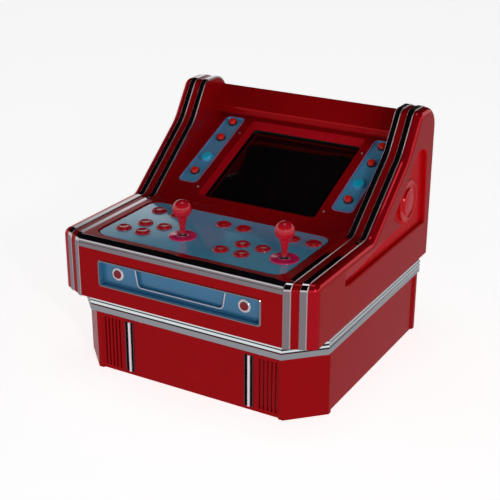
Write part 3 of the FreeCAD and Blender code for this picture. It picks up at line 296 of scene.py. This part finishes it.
BALL_RADIUS = 17.5
BALL_HEIGHT = 324.5                 # height of the ball's centre above the ground
BALL_STEPS = 24
BALL_LOW = math.radians(-56)        # angle at which the neck leaves the ball
NECK_BEND = (6.0, 299.0)            # radius and height that the curve of the neck bends towards
NECK_END = (5.0, 285.0)
NECK_STEPS = 12
NECK_FOOT = 279.0
NECK_CHAMFER = 0.4
SHAFT_RADIUS = 4.0
SHAFT_LOW = 229.0
ACTUATOR_RADIUS = 6.5
ACTUATOR_TOP = 241.0
PIVOT_HEIGHT = 258.0
HUB_RADIUS = 7.5                    # ball on the shaft that the cross pin goes through
HUB_ANGLES = range(36, 145, 12)     # degrees from its lowest point
PIN_RADIUS = 1.8
PIN_HALF = 17.0
SPRING_FOOT = 241.6
SPRING = {"radius": 4.8, "length": 8.8, "turns": 4, "wire_radius": 0.45}
COIL_STEPS = 24
DISC = [(8.6, 0, 0), (25.6, 0, 0), (25.6, 1.4, 0.6), (24.4, 2.0, 1.0), (20.0, 2.2, 3.0),
        (12.0, 3.0, 2.0), (8.6, 3.0, 0.6), (8.6, 0, 0)]


def knob_points():
    """Ball, then a neck that curves in to the shaft, from the top down."""
    points = []
    for step in range(BALL_STEPS + 1):
        angle = math.pi / 2 + (BALL_LOW - math.pi / 2) * step / BALL_STEPS
        points.append((BALL_RADIUS * math.cos(angle), BALL_HEIGHT + BALL_RADIUS * math.sin(angle)))
    start = points[-1]
    for step in range(1, NECK_STEPS + 1):
        t = step / NECK_STEPS
        points.append(tuple((1 - t) ** 2 * a + 2 * t * (1 - t) * b + t * t * c
                            for a, b, c in zip(start, NECK_BEND, NECK_END)))
    points.append((NECK_END[0], NECK_FOOT + NECK_CHAMFER))
    points.append((NECK_END[0] - NECK_CHAMFER, NECK_FOOT))
    return points + [(SHAFT_RADIUS, NECK_FOOT), (SHAFT_RADIUS, BALL_HEIGHT), (0, BALL_HEIGHT)]


def coil(name, centre, body, node, radius, length, turns, wire_radius):
    """A coil spring as a swept curve."""
    curve = bpy.data.curves.new(name, "CURVE")
    curve.dimensions = "3D"
    curve.bevel_depth = wire_radius * MM
    curve.bevel_resolution = 2
    line = curve.splines.new("POLY")
    steps = COIL_STEPS * turns
    line.points.add(steps)
    for step, point in enumerate(line.points):
        angle = 2 * math.pi * step / COIL_STEPS
        spot = Vector((radius * math.cos(angle), radius * math.sin(angle), length * step / steps))
        point.co = (*(centre + spot * MM), 1)
    made = bpy.data.objects.new(name, curve)
    bpy.context.scene.collection.objects.link(made)
    curve.materials.append(STEEL)
    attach(made, body)
    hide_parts(node)


def shaft_corners():
    """Actuator at the low end, then the round hub and the straight shaft up to the neck."""
    hub = [(HUB_RADIUS * math.sin(math.radians(angle)),
            PIVOT_HEIGHT - HUB_RADIUS * math.cos(math.radians(angle)), 0) for angle in HUB_ANGLES]
    return [(0, SHAFT_LOW, 0), (ACTUATOR_RADIUS, SHAFT_LOW, 0.8), (ACTUATOR_RADIUS, ACTUATOR_TOP, 0.8),
            (SHAFT_RADIUS, ACTUATOR_TOP, 0), *hub, (SHAFT_RADIUS, hub[-1][1], 0),
            (SHAFT_RADIUS, NECK_FOOT, 0), (0, NECK_FOOT, 0)]


def joysticks():
    for number in (1, 2):
        node = "joystick_stick_%d" % number
        body = "stick_%d" % number
        middle = box_middle(node)
        foot = Vector((middle.x, middle.y, 0))
        work = bmesh.new()
        lathe_into(work, knob_points(), foot, UP)
        piece("knob_%d" % number, work, BUTTON, body, [node])
        lathe("shaft_%d" % number, shaft_corners(), foot, UP, STEEL, body, node)
        pin = [(0, -PIN_HALF, 0), (PIN_RADIUS, -PIN_HALF, 0.3), (PIN_RADIUS, PIN_HALF, 0.3),
               (0, PIN_HALF, 0)]
        lathe("cross_pin_%d" % number, pin, foot + UP * PIVOT_HEIGHT * MM, ACROSS, STEEL, body, node)
        coil("centring_spring_%d" % number, foot + UP * SPRING_FOOT * MM, body, node, **SPRING)
        disc_at = Vector((middle.x, middle.y, PLATE_TOP))
        lathe("stick_disc_%d" % number, DISC, disc_at, UP, DISC_RED, "cabinet", "joystick_discs")


# ---- Front insert ------------------------------------------------------------

FRONT_RING_DEPTH = 26.0
FRONT_RING = [(0, -24, 0), (8.0, -24, 0), (8.0, 2.2, 0.3), (9.0, 2.8, 0.5), (10.6, 2.8, 0.8),
              (12.2, 1.2, 0.8), (12.2, 0, 0), (11, 0, 0), (11, -FRONT_RING_DEPTH, 0),
              (0, -FRONT_RING_DEPTH, 0)]
FRONT_CAP = [(0, -8, 0), (4.6, -8, 0), (4.6, -20, 0), (7.6, -20, 0), (7.6, 3.6, 1.0),
             (5.4, 4.6, 2.0), (0, 4.9, 0)]


def front_buttons():
    floor_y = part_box("front_button_rings")[1][1] - FRONT_RING_DEPTH * MM
    for side in ("left", "right"):
        node = "front_button_%s" % side
        middle = box_middle(node)
        centre = Vector((middle.x, floor_y, middle.z))
        # the ring's pale colour is a painted reflection
        lathe("front_ring_" + side, FRONT_RING, centre, -BACK, TRIM_PAINTED_SHINE, "cabinet", "front_button_rings")
        lathe("front_cap_" + side, FRONT_CAP, centre, -BACK, FRONT_RED, node, node)


# ---- Buttons, lamps and screws on the bezel ----------------------------------

COLLAR = [(0, -16, 0), (7.8, -16, 0), (7.8, 0.7, 0.2), (8.2, 1.0, 0.2), (8.9, 1.0, 0.3),
          (9.2, 0.5, 0.2), (9.2, -18, 0), (0, -18, 0)]
LAMP_COLLAR = [(0, -16, 0), (12.0, -16, 0), (12.0, 0.7, 0.2), (12.4, 1.0, 0.2), (13.1, 1.0, 0.3),
               (13.4, 0.5, 0.2), (13.4, -18, 0), (0, -18, 0)]
STRIP_CAP = [(0, -2, 0), (4.6, -2, 0), (4.6, -11, 0), (7.4, -11, 0), (7.4, 5.2, 1.6),
             (5.2, 6.9, 2.0), (0, 7.4, 0)]
LENS = [(10.1, -6, 0), (11.6, -6, 0), (11.6, 1.8, 0.8), (9.6, 2.7, 3.0), (0, 3.4, 0),
        (0, 1.6, 0), (8.6, 1.2, 0), (10.1, 0.4, 0), (10.1, -6, 0)]
BULB = [(0, -16, 0), (4, -16, 0), (4, -9, 0.4), (3, -8.4, 0.3), (3, -4, 1.0), (2, -2.6, 0.6), (0, -2, 0)]
STRIP_X = 168.0
RED_ALONG = (84.0, 193.0, 245.0)
LAMP_ALONG = 132.0


def strip_controls():
    for side, sign in (("left", -1), ("right", 1)):
        x = sign * STRIP_X
        for number, along in enumerate(RED_ALONG, start=1):
            node = "%s_strip_button_%d" % (side, number)
            centre = bezel_point(x, along)
            collar = "%s_collar_%d" % (side, number)
            lathe(collar, COLLAR, centre, BEZEL_UP, BLACK, "cabinet", "strip_collars")
            lathe("%s_cap_%d" % (side, number), STRIP_CAP, centre, BEZEL_UP, CAP_RED, node, node)
        centre = bezel_point(x, LAMP_ALONG)
        collar = "%s_lamp_collar" % side
        lathe(collar, LAMP_COLLAR, centre, BEZEL_UP, BLUE_PLATE, "cabinet", "strip_collars")
        lathe("%s_lens" % side, LENS, centre, BEZEL_UP, CYAN, "cabinet", "strip_lamps")
        lathe("%s_bulb" % side, BULB, centre, BEZEL_UP, STEEL, "cabinet", "strip_lamps")


SCREW_X = 137.0
SCREW_ALONG = (42.0, 217.0)
SCREW = [(0, -3, 0), (1.2, -3, 0), (1.2, 0, 0), (2.6, 0.1, 0.1), (2.2, 1.1, 0.6), (1.0, 1.3, 0.1),
         (0.8, 0.6, 0.1), (0, 0.5, 0)]


def bezel_screws():
    for column, x in enumerate((-SCREW_X, SCREW_X)):
        for row, along in enumerate(SCREW_ALONG):
            name = "bezel_screw_%d_%d" % (column, row)
            lathe(name, SCREW, bezel_point(x, along), BEZEL_UP, STEEL, "cabinet")


# ---- Side speakers -----------------------------------------------------------

SPEAKER_HEIGHT = 7.6
SPEAKER_COVER = [(0, 0, 0), (40, 0, 0), (40, 4.2, 1.2), (37.6, 5.4, 1.8), (34.4, 4.8, 1.6),
                 (32, 2.2, 1.8), (26.6, 2.2, 1.4), (24.6, 6.2, 1.4), (22.4, SPEAKER_HEIGHT, 1.2),
                 (19.4, 6.2, 2.0), (12, 6.9, 6.0), (0, 7.5, 0)]


def speaker_covers():
    low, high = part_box("speaker_covers")
    height = SPEAKER_HEIGHT * MM
    for side, x, out in (("left", low[0] + height, -ACROSS), ("right", high[0] - height, ACROSS)):
        centre = Vector((x, (low[1] + high[1]) / 2, (low[2] + high[2]) / 2))
        lathe("speaker_cover_" + side, SPEAKER_COVER, centre, out, SPEAKER_RED, "cabinet", "speaker_covers")


# ---- Picture tube ------------------------------------------------------------

SCREEN_ALONG = 140.5
TUBE_HALF = (123.0, 110.0, 12.0)     # half width, half height, corner radius
TUBE_DEPTH = 38.0                    # from the bezel's face to the back of the straight glass wall
FUNNEL = (((66.0, 60.0, 30.0), 110.0), ((30.0, 30.0, 24.0), 150.0))   # outlines and depths
DOME_RADIUS = 1400.0
DOME_STEPS = 12
CROWN_DEPTH = 8.2
CORNER_STEPS = 8
TUBE_NECK = [(0, 149, 0), (14.5, 149, 0), (14.5, 232, 2.0), (0, 235, 0)]
YOKE = [(14.5, 152, 0), (36, 152, 1.5), (36, 160, 3.0), (30, 181, 4.0), (18, 184, 1.0), (14.5, 184, 0)]
BAND_OUTER = (128.0, 115.0, 16.0)
BAND_INNER = (123.2, 110.2, 12.0)
BAND_DEPTH = (12.0, 32.0)


def rounded_rectangle(half_x, half_y, radius):
    points = []
    for quarter, (sx, sy) in enumerate(((1, 1), (-1, 1), (-1, -1), (1, -1))):
        for step in range(CORNER_STEPS + 1):
            angle = math.pi / 2 * (quarter + step / CORNER_STEPS)
            points.append((sx * (half_x - radius) + radius * math.cos(angle),
                           sy * (half_y - radius) + radius * math.sin(angle)))
    return points


def loft_into(work, loops):
    rings = [[work.verts.new(point) for point in loop] for loop in loops]
    for low, high in zip(rings, rings[1:]):
        for index in range(len(low)):
            after = (index + 1) % len(low)
            work.faces.new((low[index], low[after], high[after], high[index]))
    return rings


def tube_loop(half_x, half_y, radius, depth):
    return [bezel_point(x, SCREEN_ALONG + y, -depth) for x, y in rounded_rectangle(half_x, half_y, radius)]


def picture_tube():
    work = bmesh.new()
    outline = rounded_rectangle(*TUBE_HALF)
    loops = []
    for step in range(1, DOME_STEPS + 1):
        scale = step / DOME_STEPS
        loop = []
        for x, y in outline:
            away = math.hypot(x * scale, y * scale)
            sag = DOME_RADIUS - math.sqrt(DOME_RADIUS ** 2 - away ** 2)
            loop.append(bezel_point(x * scale, SCREEN_ALONG + y * scale, -CROWN_DEPTH - sag))
        loops.append(loop)
    loops.append(tube_loop(*TUBE_HALF, TUBE_DEPTH))
    for shape, depth in FUNNEL:
        loops.append(tube_loop(*shape, depth))
    rings = loft_into(work, loops)
    work.faces.new(rings[0])
    work.faces.new(rings[-1])
    piece("picture_tube", work, GLASS, "cabinet", ["crt_tube"])
    down = -BEZEL_UP
    foot = bezel_point(0, SCREEN_ALONG)
    lathe("tube_neck", TUBE_NECK, foot, down, GLASS, "cabinet", "crt_tube")
    lathe("deflection_yoke", YOKE, foot, down, COPPER, "cabinet", "crt_tube")
    work = bmesh.new()
    near, far = BAND_DEPTH
    band = [tube_loop(*BAND_OUTER, near), tube_loop(*BAND_OUTER, far), tube_loop(*BAND_INNER, far),
            tube_loop(*BAND_INNER, near)]
    loft_into(work, band + band[:1])
    piece("tube_band", work, BLACK, "cabinet", ["crt_tube"])


# ---- Trims beside the vents ---------------------------------------------------

TRIM_WIDTH = 18.2 * MM
TRIM_RIM = 1.3 * MM     # width of the edge on both sides of the channel
TRIM_HEIGHT = 1.2 * MM
CHANNEL_FLOOR = 0.3 * MM
BEAD_RADIUS = 2.5 * MM
BEAD_STEPS = 16


def upright(name, plan, low_z, high_z, finish):
    """A closed plan outline pulled straight up, for a piece of the vent trims."""
    work = bmesh.new()
    rings = [[work.verts.new((x, y, z)) for x, y in plan] for z in (low_z, high_z)]
    for index in range(len(plan)):
        after = (index + 1) % len(plan)
        work.faces.new((rings[0][index], rings[0][after], rings[1][after], rings[1][index]))
    for ring in rings:
        work.faces.new(ring)
    piece(name, work, finish, "cabinet", ["vent_trims"])


def vent_trims():
    """A black channel with two thin metal rims and a half-round bead in its middle, whose pale colour is a
    painted reflection.
    """
    low, high = (Vector(corner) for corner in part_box("vent_trims"))
    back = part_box("base_panels")[0][1]

    def strip(name, x_low, x_high, height, finish):
        plan = [(x_low, back), (x_low, back - height), (x_high, back - height), (x_high, back)]
        upright(name, plan, low.z, high.z, finish)

    for side, first in (("left", low.x), ("right", high.x - TRIM_WIDTH)):
        second = first + TRIM_WIDTH
        strip("vent_rim_outer_" + side, first, first + TRIM_RIM, TRIM_HEIGHT, DARK_CHROME)
        strip("vent_rim_inner_" + side, second - TRIM_RIM, second, TRIM_HEIGHT, DARK_CHROME)
        strip("vent_channel_" + side, first + TRIM_RIM, second - TRIM_RIM, CHANNEL_FLOOR, CHANNEL)
        middle = (first + second) / 2
        bead = []
        for step in range(BEAD_STEPS + 1):
            angle = math.pi * step / BEAD_STEPS
            out = back - CHANNEL_FLOOR - BEAD_RADIUS * math.sin(angle)
            bead.append((middle - BEAD_RADIUS * math.cos(angle), out))
        # the bead's pale colour is a painted reflection
        upright("vent_bead_" + side, bead, low.z, high.z, BEAD_PAINTED_SHINE)


# ---- Pieces shown as the CAD made them ---------------------------------------

NODE_FINISH = {"chrome_moulding": RIBBED, "control_plate": DECK_BLUE_SHEEN, "strip_panels": BLUE_PLATE}


def finish_cad_nodes():
    for name, node in frame["nodes"].items():
        node.data.materials.clear()
        node.data.materials.append(NODE_FINISH.get(name, SLOTS[SLOT_OF[name]]))


SUNK = 0.4 * MM                              # how far inside the outer face a face has to lie
RECESS_LOW = Vector((0, -0.135, 0.22))       # box that holds the recess of a side cover
RECESS_HIGH = Vector((0, 0.232, 0.388))
SLOPE_FOOT = Vector((0, -0.0158, 0.271))     # where a side cover's edge starts to slope
SLOPE_OUT = Vector((0, -0.609, 0.793))
RIM_REACH = 14 * MM
FLAT_SIDE = 0.95                             # a face that looks this much sideways isn't a bevel
BEVEL_OUTWARD = (-0.3, 0.5)
WINDOW_X = 127.5 * MM                        # half width of the bezel's opening, bevel included
WINDOW_ALONG = (19.0 * MM, 260.5 * MM)       # where it starts and ends up the slope
WINDOW_DEPTH = 0.1 * MM                      # its bevel lies deeper than this
WINDOW_TURN = 0.1                            # and faces forward by more than this
TRAY_RIM = 0.3 * MM                          # the strips' rims stand above the bezel by more than this
RIB_TOPS = (150.8 * MM, 143.3 * MM)
GROOVE_SHADE_SPAN = (4.9 * MM, 7.9 * MM)           # how far below a rib's top the painted shade in its groove starts and ends
POCKET_HALF = 96 * MM                        # the pocket's bead lies between these sides
POCKET_FRONT = -0.2505                       # metres: and behind this


def second_finish(node, finish, chosen):
    """Gives the chosen faces of a CAD node a second material."""
    mesh = frame["nodes"][node].data
    mesh.materials.append(finish)
    for face in mesh.polygons:
        if chosen(face.center, face.normal):
            face.material_index = len(mesh.materials) - 1


def is_sunk(centre):
    return abs(centre.x) < CAD_BOX[1][0] - SUNK


def in_recess(centre, normal):
    inside = RECESS_LOW.y < centre.y < RECESS_HIGH.y and RECESS_LOW.z < centre.z < RECESS_HIGH.z
    clear = (centre - SLOPE_FOOT).dot(SLOPE_OUT) < -RIM_REACH
    return is_sunk(centre) and inside and clear


def on_rim(centre, normal):
    return is_sunk(centre) and not in_recess(centre, normal)


def on_bevel(centre, normal):
    outward = normal.x * math.copysign(1, centre.x)
    return abs(normal.x) < FLAT_SIDE and not BEVEL_OUTWARD[0] < outward < BEVEL_OUTWARD[1]


def above_bezel(centre):
    """How far a point stands above the face of the bezel."""
    return (centre - BEZEL_FOOT).dot(BEZEL_UP)


def on_tray_rim(centre, normal):
    return above_bezel(centre) > TRAY_RIM


def on_window_bevel(centre, normal):
    along = (centre - BEZEL_FOOT).dot(BEZEL_ALONG)
    inside = abs(centre.x) < WINDOW_X and WINDOW_ALONG[0] < along < WINDOW_ALONG[1]
    return inside and above_bezel(centre) < -WINDOW_DEPTH and normal.dot(BEZEL_UP) > WINDOW_TURN


def in_groove_shade(centre, normal):
    """The undersides of the moulding's two ribs and the grooves below them, which get a dark metal as
    painted shade.
    """
    return any(top - GROOVE_SHADE_SPAN[1] < centre.z < top - GROOVE_SHADE_SPAN[0] for top in RIB_TOPS)


def on_pocket_bead(centre, normal):
    return abs(centre.x) < POCKET_HALF and centre.y > POCKET_FRONT


finish_cad_nodes()
# painted shade in the grooves of the moulding
second_finish("chrome_moulding", GROOVE_SHADE, in_groove_shade)
# painted highlight on the rims of the strip panels
second_finish("strip_panels", TRAY_RIM_SHEEN, on_tray_rim)
# painted light on the bevel of the screen's opening
second_finish("monitor_bezel", WINDOW_BEVEL_LIT_RED, on_window_bevel)
# painted highlight on the bead round the insert's pocket
second_finish("insert_frame", TRIM_PAINTED_SHINE, on_pocket_bead)
# painted light inside the recess of the side covers
second_finish("side_covers", RECESS_LIT_RED, in_recess)
# painted highlight on the rims of the side covers
second_finish("side_covers", RIM_LIT_RED, on_rim)
# painted highlight on the bevels of the edge strips
second_finish("edge_strips", EDGE_HIGHLIGHT, on_bevel)
deck_buttons()
joysticks()
front_buttons()
strip_controls()
bezel_screws()
speaker_covers()
vent_trims()
picture_tube()

# ---- Floor, light and camera -------------------------------------------------

FLOOR_REACH = 900.0       # metres
FLOOR_GLOW = 0.8
SHADE_INSET = 12 * MM     # the shaded floor ends this far in from the plinth's outline
SHADE_CUT = 70 * MM       # how much its corners are cut off
SHADE_LIFT = 0.2 * MM


def stage_plane(name, outline, height, paper):
    mesh = bpy.data.meshes.new(name)
    mesh.from_pydata([(x, y, height) for x, y in outline], [], [tuple(range(len(outline)))])
    mesh.materials.append(paper)
    made = bpy.data.objects.new(name, mesh)
    bpy.context.scene.collection.objects.link(made)
    made.visible_glossy = False


def studio_floor():
    """A pale floor that glows a little, except inside the plinth, which is in the shade."""
    paper = material("floor_paper", (0.85, 0.85, 0.85), 0.9, shine=0.0, spread=0.005)
    glow = paper.node_tree.nodes["Principled BSDF"]
    glow.inputs["Emission Color"].default_value = (1, 1, 1, 1)
    glow.inputs["Emission Strength"].default_value = FLOOR_GLOW
    corners = [(-1, -1), (1, -1), (1, 1), (-1, 1)]
    stage_plane("floor", [(x * FLOOR_REACH, y * FLOOR_REACH) for x, y in corners], 0, paper)
    low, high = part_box("base_panels")
    left, right = low[0] + SHADE_INSET, high[0] - SHADE_INSET
    front, rear = low[1] + SHADE_INSET, high[1] - SHADE_INSET
    inside = [(left + SHADE_CUT, front), (right - SHADE_CUT, front), (right, front + SHADE_CUT),
              (right, rear - SHADE_CUT), (right - SHADE_CUT, rear), (left + SHADE_CUT, rear),
              (left, rear - SHADE_CUT), (left, front + SHADE_CUT)]
    shaded = material("floor_in_shade", (0.02, 0.02, 0.02), 0.9, shine=0.0)
    stage_plane("floor_inside_plinth", inside, SHADE_LIFT, shaded)


def area_light(name, place, target, size, power):
    light = bpy.data.lights.new(name, "AREA")
    light.shape = "RECTANGLE"
    light.size, light.size_y = size
    light.energy = power
    lamp = bpy.data.objects.new(name, light)
    lamp.location = place
    lamp.rotation_euler = (Vector(target) - Vector(place)).to_track_quat("-Z", "Y").to_euler()
    bpy.context.scene.collection.objects.link(lamp)
    return lamp


DARK_WINDOW = [(0.883, 0.469, 0.0), (-0.985, 0.174, 0.0), (0.0, 0.0, 1.0)]   # dark in front of all three
DARK_EDGE = 0.04             # how softly the dark window ends
DARK_LIGHT = 0.02            # how much light is left in it
SKY = [(0.0, (0.38, 0.36, 0.38)), (0.004, (1.0, 1.0, 1.0)), (0.350, (1.0, 1.0, 1.0)),
       (0.379, (0.004, 0.004, 0.005))]       # height of a direction, and the colour there


def studio_world():
    """Bright near the horizon except straight behind the cabinet, and dark overhead."""
    world = bpy.data.worlds.new("studio")
    bpy.context.scene.world = world
    world.use_nodes = True
    tree = world.node_tree
    place = tree.nodes.new("ShaderNodeTexCoord")
    split = tree.nodes.new("ShaderNodeSeparateXYZ")
    ramp = tree.nodes.new("ShaderNodeValToRGB")
    wire(tree, place, "Generated", split, "Vector")
    wire(tree, split, "Z", ramp, "Fac")
    sides = []
    for plane in DARK_WINDOW:
        along = tree.nodes.new("ShaderNodeVectorMath")
        along.operation = "DOT_PRODUCT"
        along.inputs[1].default_value = plane
        wire(tree, place, "Generated", along, 0)
        sides.append(along)
    both = sides[0]
    for side in sides[1:]:
        lesser = tree.nodes.new("ShaderNodeMath")
        lesser.operation = "MINIMUM"
        wire(tree, both, "Value", lesser, 0)
        wire(tree, side, "Value", lesser, 1)
        both = lesser
    shade = tree.nodes.new("ShaderNodeMapRange")
    shade.inputs["From Min"].default_value = 0.0
    shade.inputs["From Max"].default_value = DARK_EDGE
    shade.inputs["To Min"].default_value = 1.0
    shade.inputs["To Max"].default_value = DARK_LIGHT
    wire(tree, both, "Value", shade, "Value")
    dimmed = tree.nodes.new("ShaderNodeMix")
    dimmed.data_type = "RGBA"
    dimmed.blend_type = "MULTIPLY"
    dimmed.inputs["Factor"].default_value = 1.0
    wire(tree, ramp, "Color", dimmed, "A")
    wire(tree, shade, "Result", dimmed, "B")
    wire(tree, dimmed, "Result", tree.nodes["Background"], "Color")
    while len(ramp.color_ramp.elements) < len(SKY):
        ramp.color_ramp.elements.new(1.0)
    for element, (position, colour) in zip(ramp.color_ramp.elements, SKY):
        element.position = position
        element.color = (*colour, 1)
    tree.nodes["Background"].inputs["Strength"].default_value = 1.0


EYE = Vector((0.9786, -1.7155, 1.0217))
LOOK_AT = Vector((0.03947, -0.07267, 0.230))
ROLL = math.radians(0.17)
LENS = 80.72
SENSOR = 36.0
FAR_END = 1500.0


def photo_camera():
    camera = bpy.data.cameras.new("camera")
    camera.lens = LENS
    camera.sensor_width = SENSOR
    camera.clip_end = FAR_END
    made = bpy.data.objects.new("camera", camera)
    made.location = EYE
    turn = (LOOK_AT - EYE).to_track_quat("-Z", "Y").to_matrix()
    made.rotation_euler = (turn @ Matrix.Rotation(ROLL, 3, "Z")).to_euler()
    bpy.context.scene.collection.objects.link(made)
    bpy.context.scene.camera = made


studio_floor()
area_light("camera_side", (1.75, -1.75, 1.2), (0, 0, 0.25), (0.15, 0.15), 7)
fill = area_light("inner_fill", (0.12, 0.06, 0.46), (-0.207, 0.12, 0.33), (0.1, 0.1), 0.12)
fill.visible_camera = False
fill.visible_glossy = False
area_light("overhead", (0.0, 0.0, 3.2), (0, 0, 0), (1.0, 1.0), 5)
studio_world()
bpy.context.scene.view_settings.view_transform = "Standard"
photo_camera()
